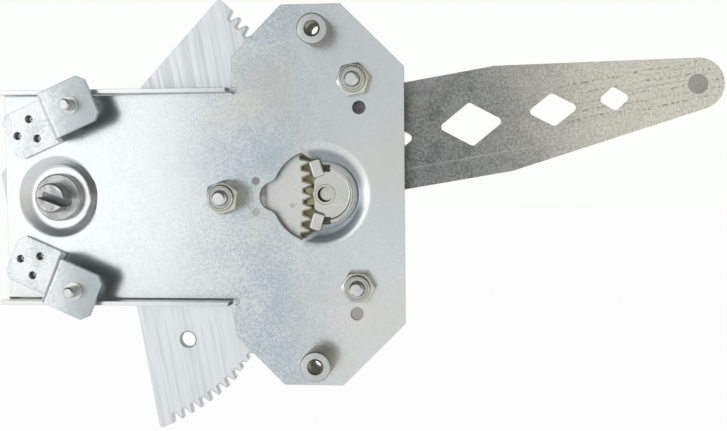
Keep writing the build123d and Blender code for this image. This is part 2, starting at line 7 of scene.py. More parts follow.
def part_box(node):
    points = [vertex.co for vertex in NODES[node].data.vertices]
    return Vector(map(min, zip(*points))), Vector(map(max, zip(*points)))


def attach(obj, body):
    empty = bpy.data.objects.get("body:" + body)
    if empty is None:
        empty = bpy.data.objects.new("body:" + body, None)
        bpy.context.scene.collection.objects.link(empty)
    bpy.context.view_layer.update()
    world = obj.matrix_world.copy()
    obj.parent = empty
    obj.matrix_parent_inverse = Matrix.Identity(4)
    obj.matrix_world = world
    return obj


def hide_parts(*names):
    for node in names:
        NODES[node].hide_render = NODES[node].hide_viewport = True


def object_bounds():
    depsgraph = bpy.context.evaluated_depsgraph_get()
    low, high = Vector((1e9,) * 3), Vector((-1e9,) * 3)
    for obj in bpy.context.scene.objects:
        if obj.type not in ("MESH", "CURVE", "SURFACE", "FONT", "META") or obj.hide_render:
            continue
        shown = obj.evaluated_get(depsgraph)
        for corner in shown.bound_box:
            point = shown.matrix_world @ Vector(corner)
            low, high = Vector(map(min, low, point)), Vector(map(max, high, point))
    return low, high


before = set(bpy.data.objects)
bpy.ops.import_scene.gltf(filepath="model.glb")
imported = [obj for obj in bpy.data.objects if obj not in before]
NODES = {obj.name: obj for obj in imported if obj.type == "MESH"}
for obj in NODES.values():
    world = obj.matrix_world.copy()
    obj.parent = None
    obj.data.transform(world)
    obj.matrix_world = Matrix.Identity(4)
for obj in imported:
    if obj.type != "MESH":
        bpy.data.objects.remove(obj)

bl_info = {
    "name": "Window regulator finish",
    "version": (1, 0, 0),
    "blender": (4, 5, 0),
    "location": "3D View > Sidebar > Regulator",
    "description": "Threads, lock nuts, metal finishes and a studio for an arm-and-sector window regulator",
    "category": "Object",
}

MM = 0.001
CAD_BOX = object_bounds()
STUD_NAMES = ("upper", "lower", "centre")
NUT_TURNS = {"upper": 10, "lower": 0, "centre": 22}
COLLAR_RIM = 5.7 * MM
COLLAR_LIP = 4.75 * MM
COLLAR_HEIGHT = 2.0 * MM
STUD_STEP = 2.2 * MM
BOSS_SPIGOT = 4.6 * MM
ARM_ANGLE = 9.5
PINION_PLACE = (119.35 * MM, 0.7 * MM)
SECTOR_HOLE = (56.5 * MM, -63.9 * MM)
SECTOR_HOLE_RADIUS = 3.4 * MM
SECTOR_SPOT = (104.5 * MM, -4.3 * MM)
STREAK_LEAN = 10.5
SLOT_TILT = 20
DISH_PLACE = (116.8 * MM, 0.5 * MM)
CLINCH_PLACES = ((-17.79 * MM, 27.33 * MM), (-12.38 * MM, 34.73 * MM), (-8.70 * MM, 26.19 * MM))


# ------------------------------------------------------------------ sizes read from the frame
def box_of(node):
    """Lowest corner, highest corner and middle of a CAD node."""
    low, high = (Vector(c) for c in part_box(node))
    return low, high, (low + high) / 2


def linear(value):
    """Colour channel of a screen colour, 0 to 255, as light."""
    channel = value / 255
    if channel <= 0.04045:
        return channel / 12.92
    return ((channel + 0.055) / 1.055) ** 2.4


def screen_colour(red, green, blue):
    return (linear(red), linear(green), linear(blue), 1.0)


# ------------------------------------------------------------------ settings
def length(name, description, default):
    return bpy.props.FloatProperty(name=name, description=description, default=default, unit="LENGTH")


def angle(name, description, degrees):
    return bpy.props.FloatProperty(
        name=name, description=description, default=math.radians(degrees), subtype="ANGLE")


def colour(name, description, default):
    return bpy.props.FloatVectorProperty(
        name=name, description=description, default=default, size=4, subtype="COLOR")


class FastenerSizes(bpy.types.PropertyGroup):
    stud_pitch: length("Stud pitch", "Thread pitch of the drive studs", 1.0 * MM)
    stud_depth: length("Stud thread depth", "Depth of the studs' thread", 0.5 * MM)
    stud_tip: length("Stud tip radius", "Outer radius of the thread on the studs' reduced ends", 3.0 * MM)
    stud_radius: length("Stud radius", "Radius of the studs' bodies", 4.0 * MM)
    boss_pitch: length("Boss pitch", "Thread pitch inside the mounting bosses", 1.0 * MM)
    boss_major: length("Boss thread radius", "Outer radius of the bosses' thread", 3.0 * MM)
    boss_minor: length("Boss bore radius", "Inner radius of the bosses' thread", 2.5 * MM)
    across_flats: length("Across flats", "Width of the nuts across their flats", 13.0 * MM)


class FinishColours(bpy.types.PropertyGroup):
    zinc: colour("Zinc", "Plated sheet", screen_colour(214, 219, 219))
    zinc_shade: colour("Zinc speckle", "Darker spangles of the plated sheet", screen_colour(160, 179, 187))
    cut_edge: colour("Cut edge", "Punched edges of the sheet", screen_colour(150, 142, 128))
    sector: colour("Sector", "Drawn steel of the sector", screen_colour(226, 231, 233))
    tooth_wall: colour("Tooth wall", "Sheared walls of the teeth", screen_colour(190, 184, 148))
    arm_dark: colour("Arm, dark", "Arm near the sector", screen_colour(157, 160, 158))
    arm_light: colour("Arm, light", "Arm near the roller", screen_colour(240, 239, 226))
    fastener: colour("Fastener", "Faces of the plated lock nuts", screen_colour(205, 208, 202))
    stub_place: bpy.props.FloatVectorProperty(
        name="Stub place", description="X and Z of the plate's locating stub",
        default=(133.2 * MM, -51.0 * MM), size=2)
    nylon: colour("Nylon", "Insert rings of the lock nuts", screen_colour(214, 217, 214))


class StudioSettings(bpy.types.PropertyGroup):
    lens: bpy.props.FloatProperty(name="Lens", description="Focal length in millimetres", default=55.2)
    distance: length("Camera distance", "From the point looked at", 0.4787)
    azimuth: angle("Azimuth", "Camera's turn about Z", 6.711)
    elevation: angle("Elevation", "Camera's height above the horizon", 3.178)
    roll: angle("Roll", "Camera's turn about its own axis", -0.474)
    target: bpy.props.FloatVectorProperty(
        name="Target", description="Point that the camera looks at", default=(0.13659, 0.0, -0.00827), size=3,
        subtype="TRANSLATION")
    floor_gap: length("Floor gap", "Room under the lowest piece, for the arm's lowest place", 0.09)
    key_power: bpy.props.FloatProperty(
        name="Key light", description="Power of the softbox on the left", default=0.85, unit="POWER")
    fill_power: bpy.props.FloatProperty(
        name="Side light", description="Power of the wide softbox beside the tongue", default=3.2,
        unit="POWER")
    room: bpy.props.FloatProperty(
        name="Room light", description="Strength of the room's own light", default=0.78)


# ------------------------------------------------------------------ modelling helpers
# A cut takes points this close to its plane as lying on it, and a join drops edges shorter than a sliver
SNAP = 0.0005 * MM
SLIVER = 0.003 * MM


def start_piece(name):
    """Names the primitive that was just added and opens it for editing."""
    piece = bpy.context.active_object
    piece.name = name
    piece.data.name = name
    bpy.ops.object.mode_set(mode="EDIT")
    return piece


def deselect():
    bpy.ops.object.select_all(action="DESELECT")


def settle(piece, sharp=math.radians(35)):
    """Closes the edit, turns the faces outwards and puts the place into the mesh."""
    bpy.ops.mesh.select_all(action="SELECT")
    bpy.ops.mesh.remove_doubles(threshold=0.002 * MM)
    bpy.ops.mesh.normals_make_consistent(inside=False)
    bpy.ops.object.mode_set(mode="OBJECT")
    bpy.ops.object.transform_apply(location=True, rotation=True, scale=True)
    bpy.ops.object.shade_smooth_by_angle(angle=sharp)
    return piece


def ring_piece(name, place, profile, segments=64, closed=True):
    """Round piece about an axis along Y, drawn ring by ring through (radius, y) points.

    The first ring is a circle primitive; each further one is extruded from the last and
    resized. A closed profile ends on its first ring; an open one is capped at both ends."""
    deselect()
    radius, y = profile[0]
    bpy.ops.mesh.primitive_circle_add(
        vertices=segments, radius=radius, location=(place[0], y, place[2]), rotation=(math.pi / 2, 0, 0))
    piece = start_piece(name)
    bpy.ops.mesh.select_all(action="SELECT")
    if not closed:
        bpy.ops.mesh.edge_face_add()
    rest = profile[1:] + (profile[:1] if closed else [])
    for next_radius, next_y in rest:
        bpy.ops.mesh.extrude_region_move(TRANSFORM_OT_translate={"value": (0, next_y - y, 0)})
        scale = next_radius / radius
        bpy.ops.transform.resize(value=(scale, 1, scale), center_override=(place[0], next_y, place[2]))
        radius, y = next_radius, next_y
    return settle(piece)


def arc(centre, radius, start, end, steps):
    """Points of a rounded corner in a (radius, y) profile."""
    angles = [math.radians(start + (end - start) * i / steps) for i in range(steps + 1)]
    return [(centre[0] + radius * math.cos(a), centre[1] + radius * math.sin(a)) for a in angles]


def apply_modifier(piece, modifier):
    bpy.context.view_layer.objects.active = piece
    bpy.ops.object.modifier_apply(modifier=modifier.name)


def combine(piece, tool, operation):
    """Joins, cuts or trims a piece with another, which is then removed."""
    modifier = piece.modifiers.new(operation.lower(), "BOOLEAN")
    modifier.operation = operation
    modifier.solver = "EXACT"
    modifier.object = tool
    apply_modifier(piece, modifier)
    bpy.data.objects.remove(tool, do_unlink=True)
    deselect()
    piece.select_set(True)
    bpy.ops.object.mode_set(mode="EDIT")
    bpy.ops.mesh.select_all(action="SELECT")
    bpy.ops.mesh.dissolve_degenerate(threshold=SLIVER)
    bpy.ops.object.mode_set(mode="OBJECT")
    bpy.ops.object.shade_smooth_by_angle(angle=math.radians(35))
    return piece


def threaded_rod(name, place, radii, pitch, ends, steps=32):
    """Rod with a helical thread along Y, cut flat and closed at both ends."""
    root, crest = radii
    front, back = ends
    deselect()
    bpy.ops.mesh.primitive_plane_add(size=root, location=(place[0], front - 2 * pitch, place[2]))
    rod = start_piece(name)
    bpy.ops.mesh.select_all(action="SELECT")
    bpy.ops.mesh.merge(type="CENTER")
    bpy.ops.transform.translate(value=(root, 0, 0))
    for outwards, along in ((0, 0.12), (crest - root, 0.33), (0, 0.14), (root - crest, 0.33), (0, 0.08)):
        bpy.ops.mesh.extrude_region_move(TRANSFORM_OT_translate={"value": (outwards, along * pitch, 0)})
    bpy.ops.object.mode_set(mode="OBJECT")
    helix = rod.modifiers.new("helix", "SCREW")
    helix.axis = "Y"
    helix.angle = 2 * math.pi
    helix.screw_offset = pitch
    helix.iterations = math.ceil((back - front) / pitch) + 4
    helix.steps = helix.render_steps = steps
    helix.use_merge_vertices = False
    apply_modifier(rod, helix)
    bpy.ops.object.mode_set(mode="EDIT")
    bpy.ops.mesh.select_all(action="SELECT")
    bpy.ops.mesh.remove_doubles(threshold=0.004 * MM)
    for level, outwards in ((front, -1), (back, 1)):
        bpy.ops.mesh.select_all(action="SELECT")
        bpy.ops.mesh.bisect(
            plane_co=(place[0], level, place[2]), plane_no=(0, outwards, 0), use_fill=True, clear_outer=True,
            threshold=SNAP)
    return settle(rod)


# ------------------------------------------------------------------ finishes
class Nodes:
    """Short way to build a material's node tree."""

    def __init__(self, name):
        self.material = bpy.data.materials.new(name)
        self.material.use_nodes = True
        self.tree = self.material.node_tree
        self.tree.nodes.clear()
        self.shader = self.node("ShaderNodeBsdfPrincipled")
        output = self.node("ShaderNodeOutputMaterial")
        self.tree.links.new(self.shader.outputs["BSDF"], output.inputs["Surface"])
        self.place = self.node("ShaderNodeTexCoord").outputs["Object"]

    def node(self, kind, **values):
        made = self.tree.nodes.new(kind)
        for name, value in values.items():
            setattr(made, name, value)
        return made

    def feed(self, node, **sockets):
        """Sets or links inputs of a node by name; underscores stand for spaces."""
        for name, value in sockets.items():
            socket = node.inputs[int(name[1:])] if name[0] == "i" and name[1:].isdigit() else (
                node.inputs[name.replace("_", " ")])
            if isinstance(value, bpy.types.NodeSocket):
                self.tree.links.new(value, socket)
            else:
                socket.default_value = value
        return node

    def shade(self, **sockets):
        self.feed(self.shader, **sockets)

    def stretched(self, scale, turn=0.0, offset=(0, 0, 0)):
        """Object coordinates turned about Y, then scaled."""
        turned = self.feed(self.node("ShaderNodeMapping"), Vector=self.place, Rotation=(0, turn, 0),
                           Location=offset)
        sized = self.feed(self.node("ShaderNodeMapping"), Vector=turned.outputs[0], Scale=scale)
        return sized.outputs[0]

    def noise(self, scale, detail=3.0, roughness=0.55, vector=None, distortion=0.0):
        made = self.feed(
            self.node("ShaderNodeTexNoise"), Vector=vector or self.place, Scale=scale, Detail=detail,
            Roughness=roughness, Distortion=distortion)
        return made.outputs["Fac"]

    def ramp(self, value, low, high, result=(0.0, 1.0)):
        """Value between two bounds, spread smoothly over a result range."""
        made = self.feed(self.node("ShaderNodeMapRange", interpolation_type="SMOOTHSTEP"), Value=value)
        self.feed(made, From_Min=low, From_Max=high, To_Min=result[0], To_Max=result[1])
        return made.outputs[0]

    def math(self, operation, a, b=0.0, clamp=False):
        made = self.node("ShaderNodeMath", operation=operation, use_clamp=clamp)
        self.feed(made, i0=a, i1=b)
        return made.outputs[0]

    def mix(self, factor, a, b, blend="MIX"):
        made = self.node("ShaderNodeMix", data_type="RGBA", blend_type=blend)
        self.feed(made, i0=factor, i6=a, i7=b)
        return made.outputs[2]

    def axis(self, index, vector=None):
        parts = self.feed(self.node("ShaderNodeSeparateXYZ"), i0=vector or self.place)
        return parts.outputs[index]

    def reach(self, aside, above):
        """Distance from an axis along Y, of which the steps in X and Z are given."""
        squares = self.math("ADD", self.math("POWER", aside, 2.0), self.math("POWER", above, 2.0))
        return self.math("SQRT", squares)

    def near(self, place, radius, mirror=False):
        """1 inside a circle round a place given in X and Z, 0 outside it; mirror also takes -Z."""
        height = self.math("ABSOLUTE", self.axis(2)) if mirror else self.axis(2)
        aside = self.math("SUBTRACT", self.axis(0), place[0])
        above = self.math("SUBTRACT", height, place[1])
        return self.ramp(self.reach(aside, above), radius, radius * 0.9)

    def track(self, inner, outer, swing, wander=4 * MM):
        """1 on an uneven arc round the pivot axis, faded at its two radii and its two ends."""
        cloud = self.math("SUBTRACT", self.noise(70, 4.0, 0.65), 0.5)
        drift = self.math("MULTIPLY", cloud, wander * 4)
        reach = self.math("ADD", self.reach(self.axis(0), self.axis(2)), drift)
        angle = self.math("ABSOLUTE", self.math("ARCTAN2", self.axis(2), self.axis(0)))
        angle = self.math("ADD", angle, self.math("MULTIPLY", drift, 8.0))
        across = self.math(
            "MULTIPLY", self.ramp(reach, inner, inner + wander), self.ramp(reach, outer + wander, outer))
        return self.math("MULTIPLY", across, self.ramp(angle, swing * 1.8, swing))

    def band(self, value, middle, half_width):
        """1 where a value is close to a middle one, 0 away from it."""
        away = self.math("ABSOLUTE", self.math("SUBTRACT", value, middle))
        return self.ramp(away, half_width, half_width * 0.5)

    def side_wall(self):
        """1 on faces that stand square to the sheet, 0 on its broad faces."""
        normal = self.node("ShaderNodeTexCoord").outputs["Normal"]
        along = self.math("ABSOLUTE", self.axis(1, normal))
        return self.ramp(along, 0.86, 0.78)

    def relief(self, height, distance, strength=1.0, edge_radius=0.25 * MM):
        """Fine relief on top of softly broken edges."""
        soft = self.feed(self.node("ShaderNodeBevel", samples=4), Radius=edge_radius)
        bump = self.feed(
            self.node("ShaderNodeBump"), Height=height, Distance=distance, Strength=strength,
            Normal=soft.outputs[0])
        self.shade(Normal=bump.outputs[0])


def plated_sheet(colours):
    """Zinc plate on pressed sheet: fine spangle, clouds of blue-grey and a little warmth. The spangle thins
    at the tongue as a painted highlight, the gear dish's recess and low side carry painted shade in dark
    blue-grey, and the sunk stub's face is painted darker as painted shade.
    """
    n = Nodes("zinc plated sheet")
    grain = n.noise(1250, 4.0, 0.75)
    clouds = n.noise(34, 3.0, 0.6)
    spangle = n.ramp(n.math("ADD", grain, n.math("MULTIPLY", clouds, 0.4)), 0.55, 0.85)
    # The spangle lies mostly at the head's left and thins out at the tongue and the head's right. Thinning it
    # at the tongue paints the tongue lighter, as a painted highlight.
    head_end = n.ramp(n.axis(0), 0.14, 0.09, (0.15, 0.85))
    tongue_end = n.ramp(n.axis(0), 0.045, 0.085, (0.1, 1))
    amount = n.math("MULTIPLY", head_end, tongue_end)
    sheet = n.mix(n.math("MULTIPLY", spangle, amount), colours.zinc, colours.zinc_shade)
    warmth = n.ramp(n.noise(21, 2.0, 0.5, n.stretched((1, 1, 1), 0.4, (0.3, 0.1, 0.2))), 0.5, 0.72, (0, 0.3))
    sheet = n.mix(warmth, sheet, screen_colour(218, 208, 190))
    on_head = n.ramp(n.axis(0), 0.0795, 0.0805)
    wall = n.math("MULTIPLY", n.side_wall(), on_head)
    sheet = n.mix(n.math("MULTIPLY", wall, 0.8), sheet, colours.cut_edge)
    # Painted shade in the gear dish: the recess round the cup, and its low side even more, are painted dark
    # blue-grey.
    recess_shade = n.math("MULTIPLY", n.near(DISH_PLACE, 23 * MM), n.ramp(n.axis(1), 2.3 * MM, 3.3 * MM))
    low_side_shade = n.math("MULTIPLY", n.near(DISH_PLACE, 22 * MM), n.ramp(n.axis(1), 2.08 * MM, 2.5 * MM))
    low_side_shade = n.math("MULTIPLY", low_side_shade, n.ramp(n.axis(2), -9 * MM, -15 * MM, (0, 0.55)))
    dish_shade = n.math("MAXIMUM", n.math("MULTIPLY", recess_shade, 0.75), low_side_shade)
    sheet = n.mix(dish_shade, sheet, n.mix(clouds, screen_colour(128, 138, 146), screen_colour(88, 98, 106)))
    # Painted shade: the sunk stub's face is painted a darker grey.
    sunk = n.math("MULTIPLY", n.near(colours.stub_place, 2.9 * MM), n.ramp(n.axis(1), 2.6 * MM, 2.9 * MM))
    sheet = n.mix(sunk, sheet, screen_colour(166, 163, 159))
    n.shade(Base_Color=sheet, Metallic=0.95, Roughness=n.ramp(grain, 0.3, 0.7, (0.19, 0.27)))
    n.relief(grain, 0.01 * MM, 0.4, 0.3 * MM)
    return n.material


def bracket_sheet():
    """Thicker plated sheet of the brackets: duller than the plate, with painted light and shade that runs
    from a light foot to the darkest tone on the raised pads, and painted shade and highlight rings on the
    clinch marks.
    """
    n = Nodes("plated bracket")
    grain = n.noise(900, 4.0, 0.7)
    clouds = n.noise(70, 3.0, 0.6)
    # Painted light and shade: lighter at the foot, darker over the raised pads.
    raised = n.ramp(n.axis(0), -4 * MM, 20 * MM)
    sheet = n.mix(raised, screen_colour(226, 230, 230), screen_colour(172, 180, 183))
    speckle = n.ramp(n.math("ADD", grain, clouds), 0.9, 1.25, (0, 0.5))
    sheet = n.mix(speckle, sheet, screen_colour(162, 172, 176))
    bottom = n.ramp(n.axis(1), 2.2 * MM, 2.8 * MM)
    # Each clinch mark is painted as rings: dark painted shade round it, a painted highlight ring, and dark
    # painted shade in its pit.
    for place in CLINCH_PLACES:
        for radius, colour in ((1.85, (104, 100, 98)), (0.95, (226, 224, 220)), (0.45, (96, 94, 92))):
            mark = n.math("MULTIPLY", bottom, n.near(place, radius * MM, mirror=True))
            sheet = n.mix(mark, sheet, screen_colour(*colour))
    n.shade(Base_Color=sheet, Metallic=0.95, Roughness=n.ramp(grain, 0.3, 0.7, (0.3, 0.4)))
    n.relief(grain, 0.012 * MM, 0.4, 0.4 * MM)
    return n.material


def drawn_steel(colours):
    """Sector plate: bright plating over long drawing streaks, khaki on the walls of the teeth in use, and a
    dark ring of painted shade round its hole.
    """
    n = Nodes("drawn sector steel")
    streaks = n.noise(1.0, 3.0, 0.6, n.stretched((950, 60, 24), math.radians(STREAK_LEAN)))
    haze = n.noise(60, 2.0)
    face = n.mix(n.ramp(streaks, 0.4, 0.7, (0, 0.5)), colours.sector, screen_colour(196, 205, 208))
    face = n.mix(n.ramp(haze, 0.5, 0.75, (0, 0.25)), face, screen_colour(236, 239, 240))
    grain = n.ramp(n.noise(900, 3.0), 0.4, 0.7)
    worn = n.mix(grain, screen_colour(216, 218, 214), screen_colour(202, 205, 202))
    face = n.mix(n.track(78 * MM, 122 * MM, math.radians(17)), face, worn)
    spot = n.math("MULTIPLY", n.near(SECTOR_SPOT, 1.3 * MM), 0.5)
    face = n.mix(spot, face, screen_colour(176, 160, 136))
    meshing = n.track(96 * MM, 122 * MM, math.radians(15), 2 * MM)
    wall = n.side_wall()
    face = n.mix(wall, face, n.mix(meshing, screen_colour(222, 227, 229), colours.tooth_wall))
    # Painted shade: a dark ring is painted round the sector's hole.
    hole = n.near(SECTOR_HOLE, SECTOR_HOLE_RADIUS)
    ring = n.math("SUBTRACT", n.near(SECTOR_HOLE, SECTOR_HOLE_RADIUS + 0.7 * MM), hole)
    face = n.mix(n.math("MULTIPLY", ring, 0.8), face, screen_colour(118, 122, 122))
    metallic = n.math("SUBTRACT", 0.85, n.math("MULTIPLY", wall, n.ramp(meshing, 0.0, 1.0, (0.55, 0.75))))
    n.shade(Base_Color=face, Metallic=metallic, Roughness=n.ramp(streaks, 0.3, 0.7, (0.3, 0.42)))
    n.relief(streaks, 0.012 * MM, 0.4, 0.15 * MM)
    return n.material


def arm_steel(colours):
    """Lift arm: scuffed dark grey fading to warm grey, with dashes along it and greased where the teeth run.
    A light line near its lower edge and its tail at the far left are painted highlight.
    """
    n = Nodes("mottled arm steel")
    turn = math.radians(ARM_ANGLE)
    drawn = n.stretched((1, 1, 1), turn)
    along, across = n.axis(0, drawn), n.axis(2, drawn)
    grain = n.noise(900, 5.0, 0.78)
    scuffs = n.noise(150, 6.0, 0.78)
    blotch = n.noise(30, 3.0, 0.6)
    fade = n.ramp(n.math("ADD", along, n.math("MULTIPLY", blotch, 0.05)), 0.19, 0.285)
    face = n.mix(fade, colours.arm_dark, colours.arm_light)
    shade = n.mix(fade, screen_colour(113, 115, 115), screen_colour(212, 209, 194))
    face = n.mix(n.ramp(grain, 0.4, 0.62, (0, 0.9)), face, shade)
    scuffing = n.math("SUBTRACT", 0.5, n.math("MULTIPLY", fade, 0.46))
    scuffed = n.math("MULTIPLY", n.ramp(scuffs, 0.48, 0.62), scuffing)
    face = n.mix(scuffed, face, n.mix(fade, screen_colour(92, 95, 97), screen_colour(184, 181, 166)))
    rubbed = n.math("MULTIPLY", n.ramp(blotch, 0.46, 0.72, (0, 0.38)), n.ramp(along, 0.3, 0.2))
    face = n.mix(rubbed, face, screen_colour(176, 175, 168))
    dashes = n.ramp(n.noise(1.0, 3.0, 0.7, n.stretched((900, 60, 500), turn)), 0.5, 0.57)
    for line in (5.0 * MM, -5.9 * MM, 9.2 * MM, 0.6 * MM, -2.7 * MM):
        drift = n.math("MULTIPLY", n.math("SUBTRACT", n.noise(60, 1.0), 0.5), 3 * MM)
        wander = n.math("ADD", line, drift)
        mark = n.math("MULTIPLY", n.band(n.math("SUBTRACT", across, wander), 0.0, 0.5 * MM), dashes)
        mark = n.math("MULTIPLY", mark, n.ramp(along, 0.2, 0.235, (0, 0.6)))
        face = n.mix(mark, face, screen_colour(122, 118, 106))
    # Painted highlight: a light line is painted along the arm near its lower edge.
    highlight_line = n.band(across, -14.2 * MM, 0.55 * MM)
    highlight_line = n.math("MULTIPLY", highlight_line, n.ramp(along, 0.26, 0.2, (0, 0.35)))
    face = n.mix(highlight_line, face, screen_colour(196, 194, 184))
    scratches = n.noise(1.0, 2.0, 0.5, n.stretched((14, 60, 1300), turn))
    face = n.mix(n.ramp(scratches, 0.63, 0.7, (0, 0.2)), face, screen_colour(120, 118, 110))
    face = n.mix(n.math("MULTIPLY", n.side_wall(), 0.7), face, screen_colour(190, 184, 170))
    front_face = n.ramp(n.axis(1), 10.4 * MM, 10.0 * MM)
    greased = n.math("MULTIPLY", n.track(88 * MM, 134 * MM, math.radians(14)), front_face)
    face = n.mix(greased, face, n.mix(blotch, screen_colour(182, 179, 150), screen_colour(150, 148, 122)))
    # Painted highlight: the arm's tail at the far left is painted near-white.
    tail = n.ramp(n.axis(0), -2 * MM, -8 * MM)
    face = n.mix(tail, face, screen_colour(226, 230, 230))
    metallic = n.math("SUBTRACT", 0.9, n.math("MULTIPLY", greased, 0.7))
    n.shade(Base_Color=face, Metallic=metallic, Roughness=n.ramp(grain, 0.3, 0.7, (0.42, 0.55)))
    n.relief(grain, 0.03 * MM, 0.5, 0.35 * MM)
    return n.material


def bright_metal(name, colour, tint, roughness=0.24, edge_radius=0.15 * MM, side=None):
    """Turned and plated steel with a faint tint that changes over the piece. A side colour, where given, is
    painted on the side walls as painted shade and reflection.
    """
    n = Nodes(name)
    cloud = n.noise(180, 3.0, 0.6)
    lathe_marks = n.noise(1.0, 2.0, 0.5, n.stretched((60, 4200, 60)))
    face = n.mix(n.ramp(cloud, 0.42, 0.68, (0, 0.5)), colour, tint)
    # Painted shade and reflection: the side walls take the darker side colour.
    if side:
        face = n.mix(n.side_wall(), face, side)
    rough = n.math("ADD", n.ramp(cloud, 0.3, 0.7, (0, 0.12)), roughness)
    n.shade(Base_Color=face, Metallic=0.95, Roughness=rough)
    n.relief(lathe_marks, 0.01 * MM, 0.4, edge_radius)
    return n.material


def arbor_steel():
    """Pivot shaft: worn steel, with its sides painted darker and its spring slot across its end painted dark,
    both as painted shade.
    """
    n = Nodes("arbor steel")
    cloud = n.noise(300, 4.0, 0.65)
    face = n.mix(n.ramp(cloud, 0.4, 0.65), screen_colour(206, 206, 202), screen_colour(158, 161, 160))
    # Painted shade: the shaft's side walls are painted darker.
    face = n.mix(n.side_wall(), face, screen_colour(150, 153, 154))
    # Painted shade: the spring slot across the end is painted dark.
    tilt = math.radians(SLOT_TILT)
    across = n.math(
        "ADD", n.math("MULTIPLY", n.axis(0), math.sin(tilt)), n.math("MULTIPLY", n.axis(2), math.cos(tilt)))
    slot = n.ramp(n.math("ABSOLUTE", across), 2.0 * MM, 1.8 * MM)
    face = n.mix(slot, face, n.mix(cloud, screen_colour(150, 152, 154), screen_colour(80, 84, 88)))
    n.shade(Base_Color=face, Metallic=0.9, Roughness=n.ramp(cloud, 0.3, 0.7, (0.28, 0.42)))
    n.relief(cloud, 0.03 * MM, 0.5, 0.2 * MM)
    return n.material


def gear_steel():
    """Pinion: the hub and its bore as bright as the cup round them, the teeth in dull khaki. The bore's wall
    is painted dark as painted shade, and its bottom gets a painted shadow crescent at the lower left.
    """
    n = Nodes("gear steel")
    cloud = n.noise(180, 3.0, 0.6)
    behind = n.math("SUBTRACT", 1.0, n.near(PINION_PLACE, 4.5 * MM))
    tint = n.ramp(cloud, 0.42, 0.68, (0, 0.5))
    hub = n.mix(tint, screen_colour(208, 209, 202), screen_colour(198, 196, 186))
    face = n.mix(behind, hub, n.mix(cloud, screen_colour(158, 155, 126), screen_colour(134, 132, 106)))
    # Painted shade on the bore's wall, and a painted shadow crescent on the bore's bottom: an offset disc
    # stays light, and the rest of the bottom's rim is painted dark.
    in_bore = n.near(PINION_PLACE, 3.8 * MM)
    face = n.mix(n.math("MULTIPLY", n.side_wall(), in_bore), face, screen_colour(70, 62, 52))
    painted_bore_shadow = n.math("MULTIPLY", in_bore, n.ramp(n.axis(1), 6.6 * MM, 7.0 * MM))
    unshaded_disc = n.near((PINION_PLACE[0] + 0.3 * MM, PINION_PLACE[1] + 0.25 * MM), 3.1 * MM)
    face = n.mix(n.math("SUBTRACT", painted_bore_shadow, unshaded_disc, clamp=True), face, screen_colour(70, 62, 52))
    n.shade(Base_Color=face, Metallic=0.9, Roughness=n.ramp(cloud, 0.3, 0.7, (0.3, 0.42)))
    n.relief(cloud, 0.01 * MM, 0.4, 0.1 * MM)
    return n.material


def nylon_ring(colours):
    n = Nodes("nylon insert")
    cloud = n.noise(400, 2.0)
    n.shade(Base_Color=n.mix(cloud, colours.nylon, screen_colour(204, 208, 206)), Roughness=0.35)
    n.shade(Subsurface_Weight=0.15, Subsurface_Scale=1.0 * MM)
    n.relief(cloud, 0.02 * MM, 0.4, 0.1 * MM)
    return n.material


def moulded_plastic(name, colour, shade, upper=None):
    n = Nodes(name)
    grain = n.noise(900, 2.0)
    face = n.mix(n.ramp(grain, 0.35, 0.7), colour, shade)
    if upper:
        face = n.mix(n.ramp(n.axis(2), -1 * MM, 1 * MM), face, upper)
    n.shade(Base_Color=face, Roughness=0.42)
    n.relief(grain, 0.02 * MM, 0.4, 0.3 * MM)
    return n.material


def paint_node(node, material):
    for place in NODES[node].material_slots:
        place.material = material


def dress(piece, body, slot, material, *replaced):
    piece.data.materials.clear()
    piece.data.materials.append(material)
    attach(piece, body)
    if replaced:
        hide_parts(*replaced)


# ------------------------------------------------------------------ operators
class REGULATOR_OT_sheet_finish(bpy.types.Operator):
    """Gives the base plate, brackets and bearing cup their plated finish"""
    bl_idname = "regulator.sheet_finish"
    bl_label = "Finish plated sheet"

    def execute(self, context):
        colours = context.scene.regulator_colours
        material = plated_sheet(colours)
        paint_node("base_plate", material)
        brackets = bracket_sheet()
        for node in ("upper_bracket", "lower_bracket"):
            paint_node(node, brackets)
        cup = bright_metal(
            "pressed cup", screen_colour(208, 210, 204), screen_colour(194, 195, 185), 0.18, 0.12 * MM)
        paint_node("pinion_cup", cup)
        return {"FINISHED"}


class REGULATOR_OT_arm_finish(bpy.types.Operator):
    """Gives the lift arm, the sector, their rivets and the roller's stud their finish"""
    bl_idname = "regulator.arm_finish"
    bl_label = "Finish arm and sector"

    def execute(self, context):
        colours = context.scene.regulator_colours
        paint_node("sector_gear", drawn_steel(colours))
        paint_node("lift_arm", arm_steel(colours))
        rivet = bright_metal("rivet steel", screen_colour(178, 176, 168), screen_colour(158, 156, 150), 0.38)
        for node in ("arm_rivets", "roller_stud"):
            paint_node(node, rivet)
        return {"FINISHED"}


class REGULATOR_OT_pivot_finish(bpy.types.Operator):
    """Gives the door pins, shaft, collar, bush, pinion, pad and roller their finish"""
    bl_idname = "regulator.pivot_finish"
    bl_label = "Finish pivot, pinion and roller"

    def execute(self, context):
        pin = bright_metal("turned zinc", screen_colour(210, 212, 208), screen_colour(182, 186, 184), 0.22)
        for node in ("upper_bracket_pin", "lower_bracket_pin"):
            paint_node(node, pin)
        collar = bright_metal("worn steel", screen_colour(186, 187, 184), screen_colour(142, 146, 146), 0.3)
        paint_node("retaining_collar", collar)
        paint_node("pivot_shaft", arbor_steel())
        paint_node("pinion", gear_steel())
        bush = bright_metal(
            "sintered bronze", screen_colour(186, 160, 118), screen_colour(160, 136, 98), 0.45)
        paint_node("pivot_bush", bush)
        pad = moulded_plastic(
            "natural nylon", screen_colour(208, 212, 212), screen_colour(196, 200, 200),
            screen_colour(164, 158, 154))
        paint_node("sector_guide_pad", pad)
        roller = moulded_plastic("roller plastic", screen_colour(70, 72, 74), screen_colour(54, 55, 57))
        paint_node("roller", roller)
        return {"FINISHED"}


